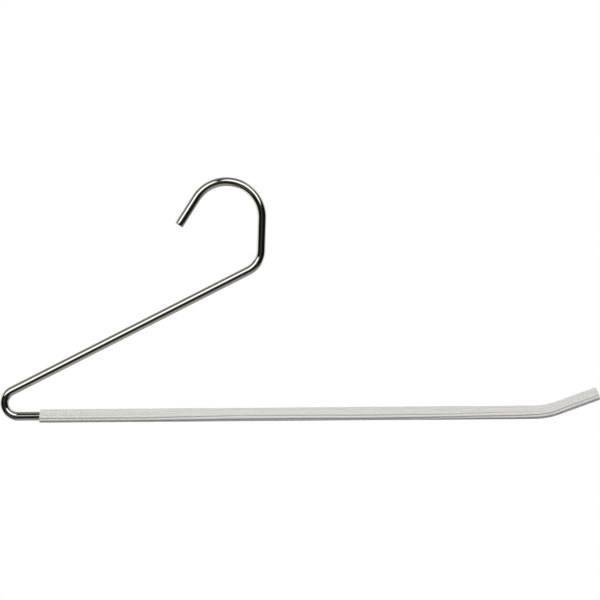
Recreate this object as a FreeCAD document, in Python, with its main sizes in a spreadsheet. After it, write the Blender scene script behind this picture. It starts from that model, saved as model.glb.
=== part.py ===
"""Open-ended trouser hanger: one bent round rod and a ribbed soft sleeve pushed over its bar.

Millimetres. +Z is up, +X runs along the trouser bar towards its open end, +Y is the hanger's thickness.
The origin is the rail seat: the highest point of the hook's inside, on the rod's middle plane.
"""
import FreeCAD, Part
import math
import os

import Sketcher

# Driving dimensions: millimetres, degrees and counts. Radii of bends are those of the rod's centre line.
DIMENSIONS = [
    ("wire_dia", 5.0, "stock of the bent rod"),
    ("cut_round", 0.45, "tumbled round on the rod's two cut ends"),
    ("hook_radius", 20.6, "hook bend"),
    ("tip_lean", 32.56, "lean of the straight hook tip from the vertical"),
    ("tip_length", 18.6, "straight hook tip"),
    ("neck_lean", 1.83, "lean of the neck from the vertical"),
    ("neck_length", 18.6, "straight neck below the hook"),
    ("neck_bend_radius", 13.5, "bend from the neck into the arm"),
    ("arm_angle", 26.95, "slope of the arm below the horizontal"),
    ("arm_length", 153.1, "straight arm"),
    ("heel_radius", 7.7, "tight bend from the arm into the bar"),
    ("bar_tilt", 0.45, "rise of the trouser bar towards its open end"),
    ("bar_length", 298.1, "straight trouser bar"),
    ("end_bend_radius", 40.4, "gentle bend into the upturned end"),
    ("end_angle", 19.9, "rise of the upturned end"),
    ("end_length", 24.6, "straight upturned end, to the sleeve's cut face"),
    ("sleeve_dia", 7.8, "soft sleeve over its ribs"),
    ("sleeve_bore", 5.04, "soft sleeve's bore, stretched over the rod"),
    ("sleeve_setback", 12.8, "bare bar between the heel bend and the sleeve"),
    ("end_recess", 3.0, "how far the rod stops short inside the sleeve's open end"),
    ("rib_count", 11, "lengthwise ribs round the sleeve, the first along its top"),
    ("rib_radius", 1.0, "round back of each rib"),
    ("groove_radius", 0.15, "root of the groove between two ribs"),
]

RIGHT_TURN, LEFT_TURN = "clockwise", "counterclockwise"
ARC_START, ARC_END, CENTRE = 1, 2, 3          # Sketcher's codes for the points of a line or an arc
ORIGIN_POINT = (-1, 1)                        # Sketcher's codes for the sketch's own origin


def make_sheet(doc):
    """The spreadsheet that holds every driving dimension."""
    sheet = doc.addObject("Spreadsheet::Sheet", "Dims")
    for row, (alias, value, meaning) in enumerate(DIMENSIONS, start=1):
        sheet.set("A%d" % row, alias)
        sheet.set("B%d" % row, str(value))
        sheet.setAlias("B%d" % row, alias)
        sheet.set("C%d" % row, meaning)
    doc.recompute()
    return sheet


def direction(heading):
    """Unit vector in the hanger's plane, as sketch x and y, for a heading in degrees."""
    angle = math.radians(heading)
    return FreeCAD.Vector(math.cos(angle), math.sin(angle), 0)


def straight(start, heading, length, name):
    """A straight run of the rod: where it starts and ends, and the names of its dimensions."""
    end = start + direction(heading) * length
    return {"kind": "line", "start": start, "end": end, "heading": heading, "name": name}


def bend(start, heading, radius, new_heading, side, name):
    """A bend of the rod that turns it from one heading to another."""
    towards_centre = 90 if side == LEFT_TURN else -90
    centre = start + direction(heading + towards_centre) * radius
    end = centre - direction(new_heading + towards_centre) * radius
    return {"kind": "arc", "start": start, "end": end, "heading": new_heading, "name": name,
            "centre": centre, "radius": radius, "side": side}


def rod_route(dims):
    """The rod's centre line in the XZ plane, from the hook's tip to the open end of the bar."""
    up = 90.0
    tip_heading = up - dims.tip_lean
    neck_heading = -up - dims.neck_lean
    arm_heading = -180.0 + dims.arm_angle
    hook_centre = FreeCAD.Vector(0, dims.wire_dia / 2 - dims.hook_radius, 0)
    hook_start = hook_centre + direction(tip_heading + up) * dims.hook_radius
    tip_end = hook_start - direction(tip_heading) * dims.tip_length

    route = [straight(tip_end, tip_heading, dims.tip_length, "tip")]

    def go(length, name):
        route.append(straight(route[-1]["end"], route[-1]["heading"], length, name))

    def turn(radius, new_heading, side, name):
        last = route[-1]
        route.append(bend(last["end"], last["heading"], radius, new_heading, side, name))

    turn(dims.hook_radius, neck_heading, RIGHT_TURN, "hook")
    go(dims.neck_length, "neck")
    turn(dims.neck_bend_radius, arm_heading, RIGHT_TURN, "neck_bend")
    go(dims.arm_length, "arm")
    turn(dims.heel_radius, dims.bar_tilt, LEFT_TURN, "heel")
    go(dims.bar_length, "bar")
    turn(dims.end_bend_radius, dims.end_angle, LEFT_TURN, "end_bend")
    go(dims.end_length - dims.end_recess, "end_run")
    return route


def sleeve_route(dims):
    """The sleeve's centre line in the sleeve's own plane, from its cut face at the heel along the bar."""
    bar_run = straight(FreeCAD.Vector(0, 0, 0), 0.0, dims.bar_length - dims.sleeve_setback, "bar")
    end_rise = dims.end_angle - dims.bar_tilt
    end_bend = bend(bar_run["end"], 0.0, dims.end_bend_radius, end_rise, LEFT_TURN, "end_bend")
    end_run = straight(end_bend["end"], end_rise, dims.end_length, "end_run")
    return [bar_run, end_bend, end_run]


def add_body(doc, label):
    """An empty body whose label names its node."""
    body = doc.addObject("PartDesign::Body", label)
    body.Label = label
    return body


def add_sketch(body, name, plane_role):
    """An empty sketch on one of the body's own origin planes."""
    sketch = body.newObject("Sketcher::SketchObject", name)
    plane = [item for item in body.Origin.OriginFeatures if item.Role == plane_role][0]
    sketch.AttachmentSupport = [(plane, "")]
    sketch.MapMode = "FlatFace"
    return sketch


def constrain(sketch, name, expression, *constraint):
    """Add one dimension to a sketch and bind it to the spreadsheet."""
    index = sketch.addConstraint(Sketcher.Constraint(*constraint))
    sketch.renameConstraint(index, name)
    sketch.setExpression("Constraints." + name, expression)


def draw_route(sketch, route):
    """Draw a centre line of runs and bends, each tangent to the one before it."""
    for index, piece in enumerate(route):
        # A run that heads left is drawn backwards, so that every run's angle is its rise from the horizontal.
        backwards = math.cos(math.radians(piece["heading"])) < 0
        if piece["kind"] == "line":
            first, last = (piece["end"], piece["start"]) if backwards else (piece["start"], piece["end"])
            sketch.addGeometry(Part.LineSegment(first, last))
        else:
            backwards = piece["side"] == RIGHT_TURN
            first, last = (piece["end"], piece["start"]) if backwards else (piece["start"], piece["end"])
            spoke_in, spoke_out = first - piece["centre"], last - piece["centre"]
            angle_in = math.atan2(spoke_in.y, spoke_in.x)
            angle_out = math.atan2(spoke_out.y, spoke_out.x)
            if angle_out < angle_in:
                angle_out += 2 * math.pi
            circle = Part.Circle(piece["centre"], FreeCAD.Vector(0, 0, 1), piece["radius"])
            sketch.addGeometry(Part.ArcOfCircle(circle, angle_in, angle_out))
        piece["entry"] = ARC_END if backwards else ARC_START
        piece["exit"] = ARC_START if backwards else ARC_END
        if index:
            before = route[index - 1]
            sketch.addConstraint(
                Sketcher.Constraint("Tangent", index - 1, before["exit"], index, piece["entry"]))


def make_pipe(body, profile, path):
    """Sweep a body's profile along its centre line."""
    pipe = body.newObject("PartDesign::AdditivePipe", body.Label + "_sweep")
    pipe.Profile = profile
    pipe.Spine = path
    pipe.Mode = "Standard"
    pipe.Transition = "Transformed"
    return pipe


def make_rod(doc, dims):
    """The bent rod, swept along its centre line, with its two cut ends rounded."""
    body = add_body(doc, "wire_frame")
    path = add_sketch(body, "rod_centre_line", "XZ_Plane")
    route = rod_route(dims)
    draw_route(path, route)
    number = {piece["name"]: index for index, piece in enumerate(route)}

    radii = {"hook": "hook_radius", "neck_bend": "neck_bend_radius", "heel": "heel_radius",
             "end_bend": "end_bend_radius"}
    for name, alias in radii.items():
        piece = route[number[name]]
        constrain(path, alias, "Dims.%s * 1 mm" % alias, "Radius", number[name], piece["radius"])

    lengths = {"tip": "Dims.tip_length", "neck": "Dims.neck_length", "arm": "Dims.arm_length",
               "bar": "Dims.bar_length", "end_run": "(Dims.end_length - Dims.end_recess)"}
    for name, expression in lengths.items():
        piece = route[number[name]]
        length = (piece["end"] - piece["start"]).Length
        constrain(path, name + "_length", expression + " * 1 mm", "Distance", number[name], length)

    rises = {"tip": "(90 - Dims.tip_lean)", "neck": "(90 - Dims.neck_lean)", "arm": "Dims.arm_angle",
             "bar": "Dims.bar_tilt", "end_run": "Dims.end_angle"}
    for name, expression in rises.items():
        rise = route[number[name]]["heading"] % 180.0
        constrain(path, name + "_rise", expression + " * 1 deg", "Angle", number[name], math.radians(rise))

    hook = number["hook"]
    path.addConstraint(Sketcher.Constraint("PointOnObject", hook, CENTRE, -2))
    drop = dims.hook_radius - dims.wire_dia / 2
    constrain(path, "seat_drop", "(Dims.hook_radius - Dims.wire_dia / 2) * 1 mm",
              "DistanceY", hook, CENTRE, *ORIGIN_POINT, drop)

    section = body.newObject("Sketcher::SketchObject", "rod_section")
    section.AttachmentSupport = [(path, "Edge1")]
    section.MapMode = "NormalToEdge"
    section.MapPathParameter = 0.0
    section.addGeometry(Part.Circle(FreeCAD.Vector(0, 0, 0), FreeCAD.Vector(0, 0, 1), dims.wire_dia / 2))
    section.addConstraint(Sketcher.Constraint("Coincident", 0, CENTRE, *ORIGIN_POINT))
    constrain(section, "wire_dia", "Dims.wire_dia * 1 mm", "Diameter", 0, dims.wire_dia)
    doc.recompute()

    pipe = make_pipe(body, section, path)
    doc.recompute()

    cut_centres = [route[0]["start"], route[-1]["end"]]
    cut_ends = [FreeCAD.Vector(point.x, 0, point.y) for point in cut_centres]
    cut_edges = ["Edge%d" % index for index, edge in enumerate(pipe.Shape.Edges, start=1)
                 if any((edge.CenterOfMass - point).Length < dims.wire_dia / 10 for point in cut_ends)]
    rounds = body.newObject("PartDesign::Fillet", "cut_end_rounds")
    rounds.Base = (pipe, cut_edges)
    rounds.Radius = dims.cut_round
    rounds.setExpression("Radius", "Dims.cut_round * 1 mm")
    body.Tip = rounds
    doc.recompute()
    return body, route


def rib_outline(sketch, dims):
    """The sleeve's ribbed outside: crest arcs joined by tight groove arcs, tangent all the way round."""
    count = int(dims.rib_count)
    pitch = 360.0 / count
    top = 90.0
    crest_reach = dims.sleeve_dia / 2 - dims.rib_radius
    between = dims.rib_radius + dims.groove_radius
    half_pitch = math.radians(pitch / 2)
    groove_reach = crest_reach * math.cos(half_pitch) + math.sqrt(
        between ** 2 - (crest_reach * math.sin(half_pitch)) ** 2)
    # Half the angle that each crest covers, seen from the crest's own centre.
    crest_half = math.degrees(math.atan2(groove_reach * math.sin(half_pitch),
                                         groove_reach * math.cos(half_pitch) - crest_reach))
    groove_half = crest_half - pitch / 2
    normal = FreeCAD.Vector(0, 0, 1)
    for rib in range(count):
        crest_angle = top + rib * pitch
        groove_angle = crest_angle + pitch / 2
        crest = Part.Circle(direction(crest_angle) * crest_reach, normal, dims.rib_radius)
        groove = Part.Circle(direction(groove_angle) * groove_reach, normal, dims.groove_radius)
        sketch.addGeometry(Part.ArcOfCircle(crest, math.radians(crest_angle - crest_half),
                                            math.radians(crest_angle + crest_half)))
        sketch.addGeometry(Part.ArcOfCircle(groove, math.radians(groove_angle + 180 - groove_half),
                                            math.radians(groove_angle + 180 + groove_half)))
    for rib in range(count):
        crest, groove, next_crest = 2 * rib, 2 * rib + 1, (2 * rib + 2) % (2 * count)
        sketch.addConstraint(Sketcher.Constraint("Tangent", crest, ARC_END, groove, ARC_END))
        sketch.addConstraint(Sketcher.Constraint("Tangent", groove, ARC_START, next_crest, ARC_START))
        if rib:
            sketch.addConstraint(Sketcher.Constraint("Equal", 0, crest))
            sketch.addConstraint(Sketcher.Constraint("Equal", 1, groove))
    constrain(sketch, "rib_radius", "Dims.rib_radius * 1 mm", "Radius", 0, dims.rib_radius)
    constrain(sketch, "groove_radius", "Dims.groove_radius * 1 mm", "Radius", 1, dims.groove_radius)
    reach = "(Dims.sleeve_dia / 2 - Dims.rib_radius) * %s(90 deg + %d * 360 deg / Dims.rib_count) * 1 mm"
    for rib in range(count):
        centre = direction(top + rib * pitch) * crest_reach
        constrain(sketch, "crest_%d_across" % rib, reach % ("cos", rib),
                  "DistanceX", *ORIGIN_POINT, 2 * rib, CENTRE, centre.x)
        constrain(sketch, "crest_%d_up" % rib, reach % ("sin", rib),
                  "DistanceY", *ORIGIN_POINT, 2 * rib, CENTRE, centre.y)


def make_sleeve(doc, dims, bar_start):
    """The ribbed soft sleeve, modelled from its cut face at the heel and placed on the bar."""
    body = add_body(doc, "grip_sleeve")
    path = add_sketch(body, "sleeve_centre_line", "XZ_Plane")
    route = sleeve_route(dims)
    draw_route(path, route)
    bar_run, end_bend, end_run = range(3)
    path.addConstraint(Sketcher.Constraint("Coincident", bar_run, ARC_START, *ORIGIN_POINT))
    path.addConstraint(Sketcher.Constraint("Horizontal", bar_run))
    constrain(path, "covered_bar", "(Dims.bar_length - Dims.sleeve_setback) * 1 mm",
              "Distance", bar_run, dims.bar_length - dims.sleeve_setback)
    constrain(path, "end_bend_radius", "Dims.end_bend_radius * 1 mm",
              "Radius", end_bend, dims.end_bend_radius)
    constrain(path, "end_length", "Dims.end_length * 1 mm", "Distance", end_run, dims.end_length)
    constrain(path, "end_rise", "(Dims.end_angle - Dims.bar_tilt) * 1 deg",
              "Angle", end_run, math.radians(dims.end_angle - dims.bar_tilt))

    section = add_sketch(body, "sleeve_section", "YZ_Plane")
    rib_outline(section, dims)
    bore = section.addGeometry(Part.Circle(FreeCAD.Vector(0, 0, 0), FreeCAD.Vector(0, 0, 1),
                                           dims.sleeve_bore / 2))
    section.addConstraint(Sketcher.Constraint("Coincident", bore, CENTRE, *ORIGIN_POINT))
    constrain(section, "sleeve_bore", "Dims.sleeve_bore * 1 mm", "Diameter", bore, dims.sleeve_bore)
    doc.recompute()

    make_pipe(body, section, path)
    cut_face = bar_start + direction(dims.bar_tilt) * dims.sleeve_setback
    tilt = FreeCAD.Rotation(FreeCAD.Vector(0, 1, 0), -dims.bar_tilt)
    body.Placement = FreeCAD.Placement(FreeCAD.Vector(cut_face.x, 0, cut_face.y), tilt)
    doc.recompute()
    return body


def check_and_export(doc, bodies):
    """Stop on any failed object or bad solid, then write one file for each body."""
    for item in doc.Objects:
        failed = [state for state in item.State if state in ("Invalid", "Error")]
        if failed:
            raise RuntimeError("%s is %s" % (item.Label, failed))
    for body in bodies:
        shape = body.Shape
        if shape.isNull() or not shape.isValid() or len(shape.Solids) != 1:
            raise RuntimeError("%s has no single valid solid" % body.Label)
    os.makedirs("parts", exist_ok=True)
    for body in bodies:
        body.Shape.exportStep("parts/%s.step" % body.Label)
        box = body.Shape.BoundBox
        print("%s  volume %.1f mm3  x %.2f..%.2f  y %.2f..%.2f  z %.2f..%.2f" % (
            body.Label, body.Shape.Volume, box.XMin, box.XMax, box.YMin, box.YMax, box.ZMin, box.ZMax))


def main():
    doc = FreeCAD.newDocument("trouser_hanger")
    dims = make_sheet(doc)
    rod, route = make_rod(doc, dims)
    bar_start = [piece["start"] for piece in route if piece["name"] == "bar"][0]
    sleeve = make_sleeve(doc, dims, bar_start)
    check_and_export(doc, [rod, sleeve])


main()
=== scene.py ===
"""Looks of the open-ended trouser hanger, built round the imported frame.

Metres, +Z up as it hangs, +X along the bar towards its open end, seen along +Y. The origin is the rail seat.
"""
import math

import bpy
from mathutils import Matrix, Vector


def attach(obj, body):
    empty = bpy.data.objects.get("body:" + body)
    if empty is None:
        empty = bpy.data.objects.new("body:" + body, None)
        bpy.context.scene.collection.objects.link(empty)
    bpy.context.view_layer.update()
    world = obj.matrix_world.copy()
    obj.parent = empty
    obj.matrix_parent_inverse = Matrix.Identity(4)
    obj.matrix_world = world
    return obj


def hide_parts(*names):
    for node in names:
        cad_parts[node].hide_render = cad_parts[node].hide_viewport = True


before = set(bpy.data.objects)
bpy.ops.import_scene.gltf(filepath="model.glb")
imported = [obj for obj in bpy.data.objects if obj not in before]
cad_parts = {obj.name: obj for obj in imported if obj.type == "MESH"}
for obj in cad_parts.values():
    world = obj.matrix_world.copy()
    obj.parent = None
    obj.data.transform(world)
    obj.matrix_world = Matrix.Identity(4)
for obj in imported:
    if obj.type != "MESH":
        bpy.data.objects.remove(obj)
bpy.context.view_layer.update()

MM = 0.001

# The rod's centre line, with the CAD part's own driving dimensions. Angles are in degrees.
WIRE_RADIUS = 2.5 * MM
CUT_ROUND = 0.45 * MM
HOOK_RADIUS = 20.6 * MM
TIP_LEAN = 32.56
TIP_LENGTH = 18.6 * MM
NECK_LEAN = 1.83
NECK_LENGTH = 18.6 * MM
NECK_BEND_RADIUS = 13.5 * MM
ARM_ANGLE = 26.95
ARM_LENGTH = 153.1 * MM
HEEL_RADIUS = 7.7 * MM
BAR_TILT = 0.45
BAR_LENGTH = 298.1 * MM
END_BEND_RADIUS = 40.4 * MM
END_ANGLE = 19.9
END_LENGTH = 24.6 * MM
END_RECESS = 3.0 * MM

# The soft sleeve over the bar.
SLEEVE_RADIUS = 3.9 * MM
SLEEVE_SETBACK = 12.8 * MM
SLEEVE_EDGE = 0.3 * MM
SLEEVE_CUT_SLANT = 0.08      # how far the heel end's cut leans along the bar for each step up
BORE_RADIUS = 2.53 * MM
RIBS = 11
RIB_RADIUS = 1.0 * MM        # each rib's round back
GROOVE_RADIUS = 0.28 * MM    # the groove's rounded root
GROOVE_REACH = 0.35          # how far the darkening in a groove reaches from its root, as a share of the way to the crest; it is painted groove shade together with dust

# How far below the sleeve's front one groove lies, in degrees, at places along the sleeve from 0 to 1.
TWIST = [(0.0, 26), (0.18, 27), (0.26, 20), (0.35, 13.5), (0.47, 14.5), (0.58, 17.5), (0.67, 15), (0.73, 11),
         (0.79, 3), (0.84, 0), (0.90, -9.5), (0.95, -15), (1.0, -15)]
# How much wider than even the ribs lie there along the lower front, where the soft sleeve is drawn tight.
SPREAD = [(0.0, -0.07), (0.18, -0.07), (0.27, 0.12), (0.35, 0.2), (0.47, 0.07), (0.66, 0.06), (0.73, -0.14),
          (0.80, -0.05), (0.88, -0.02), (0.95, 0.05), (1.0, 0.05)]
SPREAD_CENTRE = 20.0         # degrees below the front

# How fine the meshes are: points round a ring, and the gaps between rings on runs and on bends.
ROD_SIDES = 72
ROD_GAPS = (3.0 * MM, 0.35 * MM)
SIDES_PER_RIB = 18
CROWDING = 0.6               # how much closer together the points round the sleeve lie in a groove
SLEEVE_GAPS = (1.5 * MM, 0.8 * MM)
BORE_GAPS = (8.0 * MM, 1.5 * MM)
SHARP_ANGLE = 50             # shading breaks only at folds sharper than this

FRONT = Vector((0, -1, 0))


# ---------------------------------------------------------------- centre lines
def unit(heading):
    """Unit vector in the hanger's plane, for a heading in degrees above +X."""
    angle = math.radians(heading)
    return Vector((math.cos(angle), 0, math.sin(angle)))


class Route:
    """A centre line in the hanger's plane, made of runs and bends and walked by its length."""

    def __init__(self, start, heading):
        self.pieces = []
        self.end, self.heading, self.length = start, heading, 0.0

    def add(self, length, place, bent):
        self.pieces.append((self.length, length, place, bent))
        self.end, self.heading = place(length)
        self.length += length

    def go(self, length):
        start, heading = self.end, self.heading
        self.add(length, lambda s: (start + unit(heading) * s, heading), False)

    def turn(self, radius, new_heading):
        start, heading = self.end, self.heading
        side = 1 if new_heading > heading else -1
        centre = start + unit(heading + 90 * side) * radius

        def place(s):
            here = heading + side * math.degrees(s / radius)
            return centre - unit(here + 90 * side) * radius, here

        self.add(radius * math.radians(abs(new_heading - heading)), place, True)

    def at(self, s):
        """Point, direction and left-hand side at a length along the line."""
        begin, place = next((p[0], p[2]) for p in reversed(self.pieces) if s >= p[0] or p[0] == 0)
        point, heading = place(s - begin)
        return point, unit(heading), unit(heading + 90)

    def stations(self, gaps, first, last):
        """Lengths between first and last that each get a ring, with one gap on runs and a smaller one on bends."""
        run_gap, bend_gap = gaps
        found = []
        for begin, length, _, bent in self.pieces:
            count = max(1, math.ceil(length / (bend_gap if bent else run_gap)))
            found += [begin + length * k / count for k in range(count)]
        return [s for s in found if first < s < last]


def rod_route():
    tip_heading = 90 - TIP_LEAN
    hook_centre = Vector((0, 0, WIRE_RADIUS - HOOK_RADIUS))
    hook_start = hook_centre + unit(tip_heading + 90) * HOOK_RADIUS
    route = Route(hook_start - unit(tip_heading) * TIP_LENGTH, tip_heading)
    route.go(TIP_LENGTH)
    route.turn(HOOK_RADIUS, -90 - NECK_LEAN)
    route.go(NECK_LENGTH)
    route.turn(NECK_BEND_RADIUS, -180 + ARM_ANGLE)
    route.go(ARM_LENGTH)
    route.turn(HEEL_RADIUS, BAR_TILT)
    bar_start = route.end
    route.go(BAR_LENGTH)
    route.turn(END_BEND_RADIUS, END_ANGLE)
    route.go(END_LENGTH - END_RECESS)
    return route, bar_start


def sleeve_route(bar_start):
    route = Route(bar_start + unit(BAR_TILT) * SLEEVE_SETBACK, BAR_TILT)
    route.go(BAR_LENGTH - SLEEVE_SETBACK)
    route.turn(END_BEND_RADIUS, END_ANGLE)
    route.go(END_LENGTH)
    return route


# ---------------------------------------------------------------- meshes
class Skin:
    """A surface over rings of points, each kept with where it lies on the straightened piece."""

    def __init__(self, route, sides):
        self.route, self.sides = route, sides
        self.points, self.straight, self.hollow = [], [], []

    def ring(self, s, spoke, slant=0.0):
        """A ring at a length along the line. A spoke's angle is 0 at the front and 90 at the underside."""
        point, along, left = self.route.at(s)
        for k in range(self.sides):
            below, radius, hollow = spoke(k / self.sides)
            across, up = radius * math.cos(math.radians(below)), -radius * math.sin(math.radians(below))
            lean = slant * up
            self.points.append(point + FRONT * across + left * up + along * lean)
            self.straight += [s + lean, across, up]
            self.hollow.append(hollow)

    def piece(self, name, joined):
        """The finished object: capped at both ends, or joined from its last ring to its first."""
        sides, rings = self.sides, len(self.points) // self.sides
        faces = []
        for r in range(rings if joined else rings - 1):
            here, there = r * sides, ((r + 1) % rings) * sides
            for k in range(sides):
                after = (k + 1) % sides
                faces.append((here + k, here + after, there + after, there + k))
        if not joined:
            faces.append(tuple(reversed(range(sides))))
            faces.append(tuple(range(len(self.points) - sides, len(self.points))))
        mesh = bpy.data.meshes.new(name)
        mesh.from_pydata(self.points, [], faces)
        mesh.shade_smooth()
        mesh.set_sharp_from_angle(angle=math.radians(SHARP_ANGLE))
        field = mesh.attributes.new("straight", "FLOAT_VECTOR", "POINT")
        field.data.foreach_set("vector", self.straight)
        field = mesh.attributes.new("hollow", "FLOAT", "POINT")
        field.data.foreach_set("value", self.hollow)
        made = bpy.data.objects.new(name, mesh)
        bpy.context.scene.collection.objects.link(made)
        return made


def edge_steps(steps):
    """Inward and lengthwise shares of a rounded edge's radius, from its face round to its side."""
    turns = [math.radians(90) * k / steps for k in range(steps + 1)]
    return [(1 - math.sin(turn), 1 - math.cos(turn)) for turn in turns]


def make_rod(route):
    """The bent rod, with its two cut ends tumbled round."""
    skin = Skin(route, ROD_SIDES)
    round_steps = edge_steps(6)
    face_ring = 0.8              # a ring inside each cut face keeps that face flat

    def lay(s, radius):
        skin.ring(s, lambda turn: (360 * turn, radius, 0.0))

    lay(0.0, (WIRE_RADIUS - CUT_ROUND) * face_ring)
    for inward, lengthwise in round_steps:
        lay(CUT_ROUND * lengthwise, WIRE_RADIUS - CUT_ROUND * inward)
    for s in route.stations(ROD_GAPS, CUT_ROUND, route.length - CUT_ROUND):
        lay(s, WIRE_RADIUS)
    for inward, lengthwise in reversed(round_steps):
        lay(route.length - CUT_ROUND * lengthwise, WIRE_RADIUS - CUT_ROUND * inward)
    lay(route.length, (WIRE_RADIUS - CUT_ROUND) * face_ring)
    return skin.piece("chrome_rod", joined=False)


def smooth_between(marks, place):
    """A smooth curve through a few (place, value) marks."""
    for (place_a, value_a), (place_b, value_b) in zip(marks, marks[1:]):
        if place <= place_b:
            share = (place - place_a) / (place_b - place_a)
            return value_a + (value_b - value_a) * share * share * (3 - 2 * share)
    return marks[-1][1]


def rib_profile(turn):
    """The sleeve's outside radius at a share of the way round from a groove, and how deep that is in a groove.

    Each rib's back is an arc, and a small arc tangent to both neighbours rounds the groove's root.
    """
    half_pitch = math.radians(180 / RIBS)
    from_groove = (turn * RIBS) % 1.0
    to_crest = min(from_groove, 1 - from_groove) * 2
    off_groove, off_crest = half_pitch * to_crest, half_pitch * (1 - to_crest)
    crest_reach, between = SLEEVE_RADIUS - RIB_RADIUS, RIB_RADIUS + GROOVE_RADIUS
    across = crest_reach * math.sin(half_pitch)
    groove_reach = crest_reach * math.cos(half_pitch) + math.sqrt(between ** 2 - across ** 2)
    share = RIB_RADIUS / between
    meeting = math.atan2(share * groove_reach * math.sin(half_pitch),
                         crest_reach + share * (groove_reach * math.cos(half_pitch) - crest_reach))
    if off_crest < meeting:
        sideways = crest_reach * math.sin(off_crest)
        radius = crest_reach * math.cos(off_crest) + math.sqrt(RIB_RADIUS ** 2 - sideways ** 2)
    else:
        sideways = groove_reach * math.sin(off_groove)
        radius = groove_reach * math.cos(off_groove) - math.sqrt(GROOVE_RADIUS ** 2 - sideways ** 2)
    return radius, max(0.0, 1 - to_crest / GROOVE_REACH)


def make_sleeve(route):
    """The ribbed extrusion: its ribs twist slowly along the bar, and its bore is open at both ends."""
    skin = Skin(route, RIBS * SIDES_PER_RIB)
    round_steps = edge_steps(4)
    slant_reach = 8 * MM         # the slant of the heel end's cut fades out over this length

    def lay(s, inset, in_bore=False):
        twist = smooth_between(TWIST, s / route.length)
        spread = smooth_between(SPREAD, s / route.length)
        slant = SLEEVE_CUT_SLANT * max(0.0, 1 - s / slant_reach)

        def spoke(share):
            turn = share - CROWDING * math.sin(math.tau * share * RIBS) / (math.tau * RIBS)
            even = math.radians(twist + 360 * turn)
            below = math.degrees(even + spread * math.sin(even - math.radians(SPREAD_CENTRE)))
            radius, hollow = (BORE_RADIUS, 0.0) if in_bore else rib_profile(turn)
            return below, radius - inset, hollow

        skin.ring(s, spoke, slant)

    def lay_bore(s):
        lay(s, 0.0, in_bore=True)

    for inward, lengthwise in round_steps:
        lay(SLEEVE_EDGE * lengthwise, SLEEVE_EDGE * inward)
    for s in route.stations(SLEEVE_GAPS, SLEEVE_EDGE, route.length - SLEEVE_EDGE):
        lay(s, 0.0)
    for inward, lengthwise in reversed(round_steps):
        lay(route.length - SLEEVE_EDGE * lengthwise, SLEEVE_EDGE * inward)
    lay_bore(route.length)
    for s in reversed(route.stations(BORE_GAPS, 0.0, route.length)):
        lay_bore(s)
    lay_bore(0.0)
    return skin.piece("ribbed_sleeve", joined=True)


# ---------------------------------------------------------------- materials
class Nodes:
    """A material's or a world's node tree, filled by short calls."""

    def __init__(self, owner):
        owner.use_nodes = True
        self.tree = owner.node_tree
        self.tree.nodes.clear()

    def add(self, kind, links=None, **settings):
        """A node of a kind, with settings on it and values or outputs on its inputs."""
        node = self.tree.nodes.new("ShaderNode" + kind)
        for name, value in settings.items():
            setattr(node, name, value)
        for name, value in (links or {}).items():
            socket = node.inputs[name]
            if isinstance(value, bpy.types.NodeSocket):
                self.tree.links.new(value, socket)
            else:
                socket.default_value = value
        return node

    def straight(self, stretch):
        """Where a point lies on the straightened piece, in millimetres, scaled along, across and up."""
        place = self.add("Attribute", attribute_name="straight").outputs["Vector"]
        return self.add("VectorMath", {0: place, 1: [k / MM for k in stretch]},
                        operation="MULTIPLY").outputs[0]

    def noise(self, vector, scale, detail=3.0, roughness=0.5):
        return self.add("TexNoise", {"Vector": vector, "Scale": scale, "Detail": detail,
                                     "Roughness": roughness}).outputs["Fac"]

    def spread(self, value, from_low, from_high, to_low, to_high):
        """A value moved from one range to another, and held within it."""
        return self.add("MapRange", {"Value": value, "From Min": from_low, "From Max": from_high,
                                     "To Min": to_low, "To Max": to_high}).outputs["Result"]

    def blend(self, factor, colour_a, colour_b):
        """A mix of two colours. The Mix node keeps its factor and its colours on inputs 0, 6 and 7."""
        node = self.add("Mix", data_type="RGBA")
        for place, value in ((0, factor), (6, colour_a), (7, colour_b)):
            socket = node.inputs[place]
            if isinstance(value, bpy.types.NodeSocket):
                self.tree.links.new(value, socket)
            else:
                socket.default_value = value
        return node.outputs[2]

    def maths(self, operation, a, b=0.0):
        return self.add("Math", {0: a, 1: b}, operation=operation).outputs[0]

    def degrees(self, angle):
        return self.maths("DEGREES", angle)

    def third_power(self, value, span):
        return self.maths("POWER", self.maths("ABSOLUTE", self.maths("DIVIDE", value, span)), 3.0)

    def rise(self, value, edge, level=1.0):
        """A smooth step from 0 up to a level, between an edge's start and its end."""
        start, full = edge
        return self.add("MapRange", {"Value": value, "From Min": start, "From Max": full, "To Min": 0.0,
                                     "To Max": level}, interpolation_type="SMOOTHSTEP").outputs["Result"]

    def window(self, value, bounds, soft):
        """1 between two bounds and 0 outside them, with soft edges."""
        opening, closing = [self.rise(value, (bound - soft, bound + soft)) for bound in bounds]
        return self.maths("SUBTRACT", opening, closing)

    def finish(self, shader):
        self.add("OutputMaterial", {"Surface": shader.outputs[0]})


def linear(red, green, blue):
    """A display colour from 0 to 255 as the linear colour that the shaders take."""
    def one(value):
        value /= 255
        return value / 12.92 if value <= 0.04045 else ((value + 0.055) / 1.055) ** 2.4
    return (one(red), one(green), one(blue), 1.0)


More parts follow.
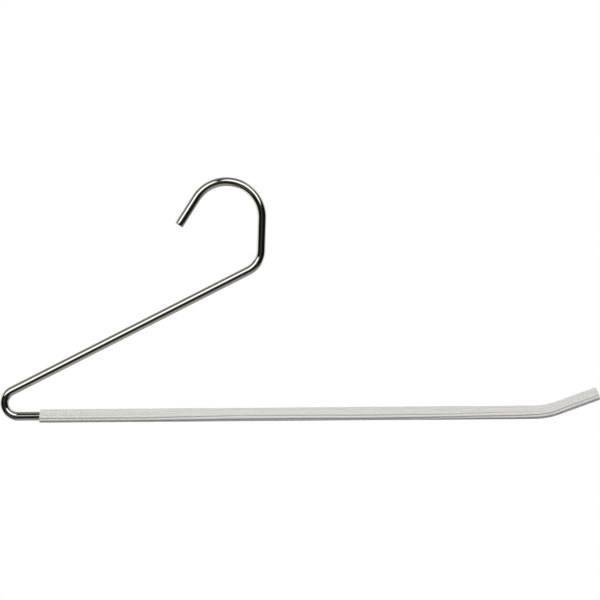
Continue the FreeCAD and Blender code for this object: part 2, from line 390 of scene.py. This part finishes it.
def chrome_material():
    """Bright chrome plating, with faint drawing lines along the rod and an uneven haze."""
    material = bpy.data.materials.new("chrome_plating")
    nodes = Nodes(material)
    drawn = nodes.noise(nodes.straight((0.02, 1.0, 1.0)), scale=6.0, detail=4.0)
    haze = nodes.noise(nodes.straight((0.05, 0.2, 0.2)), scale=1.2)
    colour = nodes.blend(haze, linear(217, 214, 207), linear(227, 224, 216))
    roughness = nodes.maths("ADD", nodes.spread(haze, 0.3, 0.7, 0.035, 0.075),
                            nodes.spread(drawn, 0.4, 0.8, 0.0, 0.03))
    bump = nodes.add("Bump", {"Height": drawn, "Strength": 0.06, "Distance": 0.02 * MM}).outputs[0]
    shader = nodes.add("BsdfPrincipled", {"Base Color": colour, "Roughness": roughness, "Normal": bump})
    shader.inputs["Metallic"].default_value = 1.0
    nodes.finish(shader)
    return material


def sleeve_material():
    """Off-white soft PVC: satin, faintly see-through and a little uneven in tone, with its grooves darkened by
    painted groove shade together with dust.
    """
    material = bpy.data.materials.new("soft_pvc")
    nodes = Nodes(material)
    hollow = nodes.add("Attribute", attribute_name="hollow").outputs["Fac"]
    cloud = nodes.noise(nodes.straight((0.03, 0.12, 0.12)), scale=1.0, detail=4.0)
    grain = nodes.noise(nodes.straight((0.8, 2.5, 2.5)), scale=1.6, detail=4.0, roughness=0.6)
    drag = nodes.noise(nodes.straight((0.03, 3.0, 3.0)), scale=1.4)
    tone = nodes.blend(cloud, linear(222, 221, 218), linear(230, 227, 223))
    # Darker towards each groove's root: painted groove shade together with some dust.
    colour = nodes.blend(nodes.spread(hollow, 0.2, 1.0, 0.0, 0.08), tone, linear(172, 170, 165))
    roughness = nodes.spread(nodes.maths("ADD", grain, drag), 0.7, 1.3, 0.42, 0.56)
    height = nodes.maths("ADD", grain, nodes.maths("MULTIPLY", drag, 0.6))
    bump = nodes.add("Bump", {"Height": height, "Strength": 0.3, "Distance": 0.01 * MM}).outputs[0]
    shader = nodes.add("BsdfPrincipled", {"Base Color": colour, "Roughness": roughness, "Normal": bump})
    shader.inputs["IOR"].default_value = 1.52
    shader.inputs["Subsurface Weight"].default_value = 0.12
    shader.inputs["Subsurface Radius"].default_value = (1.0, 1.0, 1.0)
    shader.inputs["Subsurface Scale"].default_value = 0.6 * MM
    nodes.finish(shader)
    return material


def floor_material():
    """A pale floor that looks evenly lit, because it gives its own light."""
    material = bpy.data.materials.new("pale_floor")
    nodes = Nodes(material)
    shader = nodes.add("Emission", {"Color": (1.0, 1.0, 1.0, 1.0), "Strength": 1.0})
    nodes.finish(shader)
    return material


# ---------------------------------------------------------------- studio
VIEW_SPAN = 346.2 * MM       # what the picture's width shows at the hanger
VIEW_CENTRE = Vector((42.5, 0, -65.8)) * MM
LENS, SENSOR = 120.0, 36.0   # millimetres, as Blender's cameras have them
# Each panel light's name, centre, turn about the vertical in degrees, width and height, and radiance.
PANELS = [("key_panel", (0.0, -0.9, 0.52), 0, (1.8, 0.6), 3.8),
          ("front_fill", (0.0, -0.9, 0.0), 0, (2.4, 2.0), 0.63),
          ("back_panel", (0.0, 0.9, 0.85), 180, (1.8, 0.6), 5.0),
          ("back_fill", (0.0, 0.9, 0.0), 180, (2.4, 2.0), 0.55)]

# The studio that reflections show, told by the direction that light comes from. A clock angle runs round the
# photo's lens axis, counter-clockwise from the right, and another angle runs off that axis, both in degrees. A
# slope is how far right or up a direction goes for its way ahead. An edge is where a patch of light starts and
# where it is full.
LAMP_LEVEL = 1.5
LEFT_LAMP_CLOCK, LEFT_LAMP_OFF_AXIS, LEFT_LAMP_SOFT = (108, 158), (13, 58), 4.0
LEFT_LAMP_SLOPE_EDGE = (0.08, 0.20)
RIGHT_LAMP_CENTRE, RIGHT_LAMP_REACH = (0.44, 0.91), (0.58, 0.74)
RIGHT_LAMP_RIM, RIGHT_LAMP_CLOCK_EDGE = (0.8, 1.2), (23, 33)
LOW_GLOW_CLOCK, LOW_GLOW_OFF_AXIS, LOW_GLOW_SOFT, LOW_GLOW_LEVEL = (-145, -112), (25, 50), 8.0, 0.11
FLOOR_WAY, FLOOR_EDGE, FLOOR_LEVEL = (0.26, 0.0, -0.97), (0.62, 1.0), 0.36
CEILING_OFF_AXIS_EDGE, CEILING_HEIGHT_EDGE, CEILING_LEVEL = (50, 130), (0.3, 0.75), 0.36
BACKDROP_LEAN, BACKDROP_EDGE = 0.2, (-0.05, 0.45)
SHADE_CLOCK, SHADE_EDGE, SHADE_LEVEL = 108.0, (0.60, 0.85), 0.62
DARK_CORE_EDGE, DARK_CORE_LEVEL = (0.82, 0.93), 0.75
LENS_SIDE_EDGE, LENS_SIDE_LEVEL = (-26, -6), 0.055      # degrees off the axis, counted down towards it
DARKEST_LEVEL = 0.008
LEAST_AHEAD = 0.05           # keeps slopes finite for what lies beside and behind the hanger


def add_camera():
    """Square to the hanger's plane, with a long lens."""
    data = bpy.data.cameras.new("camera")
    data.lens, data.sensor_width = LENS, SENSOR
    camera = bpy.data.objects.new("camera", data)
    camera.location = VIEW_CENTRE + FRONT * VIEW_SPAN * LENS / SENSOR
    camera.rotation_euler = (math.radians(90), 0, 0)
    bpy.context.scene.collection.objects.link(camera)
    bpy.context.scene.camera = camera


def add_panels():
    """Broad soft panels before and behind the hanger. Reflections leave them out and show the world's studio."""
    for name, place, facing, size, radiance in PANELS:
        data = bpy.data.lights.new(name, "AREA")
        data.shape = "RECTANGLE"
        data.size, data.size_y = size
        data.energy = radiance * math.pi * data.size * data.size_y
        panel = bpy.data.objects.new(name, data)
        panel.location = place
        panel.rotation_euler = (math.radians(90), 0, math.radians(facing))
        panel.visible_camera = panel.visible_glossy = False
        bpy.context.scene.collection.objects.link(panel)


def add_floor():
    """A wide pale floor far below the hanging part. Only the camera sees it, and it shows no shadow."""
    drop, reach, sides = 1.6, 40.0, 48
    corners = [(reach * math.cos(2 * math.pi * k / sides), reach * math.sin(2 * math.pi * k / sides), -drop)
               for k in range(sides)]
    mesh = bpy.data.meshes.new("studio_floor")
    mesh.from_pydata(corners, [], [tuple(range(sides))])
    mesh.materials.append(floor_material())
    floor = bpy.data.objects.new("studio_floor", mesh)
    floor.visible_glossy = floor.visible_diffuse = False
    bpy.context.scene.collection.objects.link(floor)


class Directions:
    """Where light comes from, as values that the world's nodes work with."""

    def __init__(self, nodes):
        self.way = nodes.add("TexCoord").outputs["Generated"]
        parts = nodes.add("SeparateXYZ", {0: self.way}).outputs
        self.right, self.back, self.up = parts["X"], parts["Y"], parts["Z"]
        self.off_axis = nodes.degrees(nodes.maths("ARCCOSINE", nodes.maths("MULTIPLY", self.back, -1.0)))
        self.clock = nodes.degrees(nodes.maths("ARCTAN2", self.up, self.right))
        ahead = nodes.maths("MAXIMUM", nodes.maths("MULTIPLY", self.back, -1.0), LEAST_AHEAD)
        self.slope_right = nodes.maths("DIVIDE", self.right, ahead)
        self.slope_up = nodes.maths("DIVIDE", self.up, ahead)


def lamp_lights(nodes, seen):
    """Two soft lamp panels above the lens, and a faint glow low on the left."""
    def panel(clock, off_axis, level, soft):
        inside = nodes.maths("MULTIPLY", nodes.window(seen.clock, clock, soft),
                             nodes.window(seen.off_axis, off_axis, soft))
        return nodes.maths("MULTIPLY", inside, level)

    left_lamp = nodes.maths("MULTIPLY", panel(LEFT_LAMP_CLOCK, LEFT_LAMP_OFF_AXIS, LAMP_LEVEL, LEFT_LAMP_SOFT),
                            nodes.rise(nodes.maths("MULTIPLY", seen.slope_right, -1.0), LEFT_LAMP_SLOPE_EDGE))
    # The right lamp is an oblong with rounded corners, cut off below a clock angle.
    beyond = nodes.maths("ADD", *[nodes.third_power(nodes.maths("SUBTRACT", slope, centre), reach)
                                  for slope, centre, reach in zip((seen.slope_right, seen.slope_up),
                                                                  RIGHT_LAMP_CENTRE, RIGHT_LAMP_REACH)])
    oblong = nodes.maths("SUBTRACT", LAMP_LEVEL, nodes.rise(beyond, RIGHT_LAMP_RIM, LAMP_LEVEL))
    right_lamp = nodes.maths("MULTIPLY", oblong, nodes.rise(seen.clock, RIGHT_LAMP_CLOCK_EDGE))
    low_glow = panel(LOW_GLOW_CLOCK, LOW_GLOW_OFF_AXIS, LOW_GLOW_LEVEL, LOW_GLOW_SOFT)
    return [left_lamp, right_lamp, low_glow]


def room_lights(nodes, seen):
    """The pale floor, ceiling and backdrop, and what little comes from beside the lens."""
    below = nodes.add("VectorMath", {0: seen.way, 1: FLOOR_WAY}, operation="DOT_PRODUCT").outputs["Value"]
    floor = nodes.rise(below, FLOOR_EDGE, FLOOR_LEVEL)
    ceiling = nodes.maths("MULTIPLY", nodes.rise(seen.off_axis, CEILING_OFF_AXIS_EDGE, CEILING_LEVEL),
                          nodes.rise(seen.up, CEILING_HEIGHT_EDGE))
    # The backdrop is shaded to both sides along one clock angle, and dark straight behind.
    turned = nodes.maths("RADIANS", nodes.maths("SUBTRACT", seen.clock, SHADE_CLOCK))
    shade = nodes.rise(nodes.maths("ABSOLUTE", nodes.maths("COSINE", turned)), SHADE_EDGE, SHADE_LEVEL)
    behind = nodes.maths("SUBTRACT", seen.back, nodes.maths("MULTIPLY", seen.right, BACKDROP_LEAN))
    backdrop = nodes.maths("MULTIPLY", nodes.rise(behind, BACKDROP_EDGE), nodes.maths("SUBTRACT", 1.0, shade))
    backdrop = nodes.maths("SUBTRACT", backdrop, nodes.rise(seen.back, DARK_CORE_EDGE, DARK_CORE_LEVEL))
    lens_side = nodes.rise(nodes.maths("MULTIPLY", seen.off_axis, -1.0), LENS_SIDE_EDGE, LENS_SIDE_LEVEL)
    return [floor, ceiling, backdrop, lens_side]


def add_world():
    """White to the eye, and no diffuse light. Reflections show lamps and a pale room round a dark front."""
    world = bpy.data.worlds.new("studio")
    bpy.context.scene.world = world
    nodes = Nodes(world)
    seen = Directions(nodes)
    brightest = DARKEST_LEVEL
    for patch in room_lights(nodes, seen) + lamp_lights(nodes, seen):
        brightest = nodes.maths("MAXIMUM", patch, brightest)

    ray = nodes.add("LightPath").outputs
    level = nodes.maths("MULTIPLY", ray["Is Glossy Ray"], brightest)
    level = nodes.blend(ray["Is Camera Ray"], level, (1.0, 1.0, 1.0, 1.0))
    background = nodes.add("Background", {"Color": level, "Strength": 1.0})
    nodes.add("OutputWorld", {"Surface": background.outputs[0]})


# ---------------------------------------------------------------- assembly
rod_line, bar_start = rod_route()
rod = make_rod(rod_line)
rod.data.materials.append(chrome_material())
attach(rod, "root")
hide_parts("wire_frame")

sleeve = make_sleeve(sleeve_route(bar_start))
sleeve.data.materials.append(sleeve_material())
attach(sleeve, "root")
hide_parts("grip_sleeve")

add_camera()
add_panels()
add_floor()
add_world()
bpy.context.scene.view_settings.view_transform = "Standard"
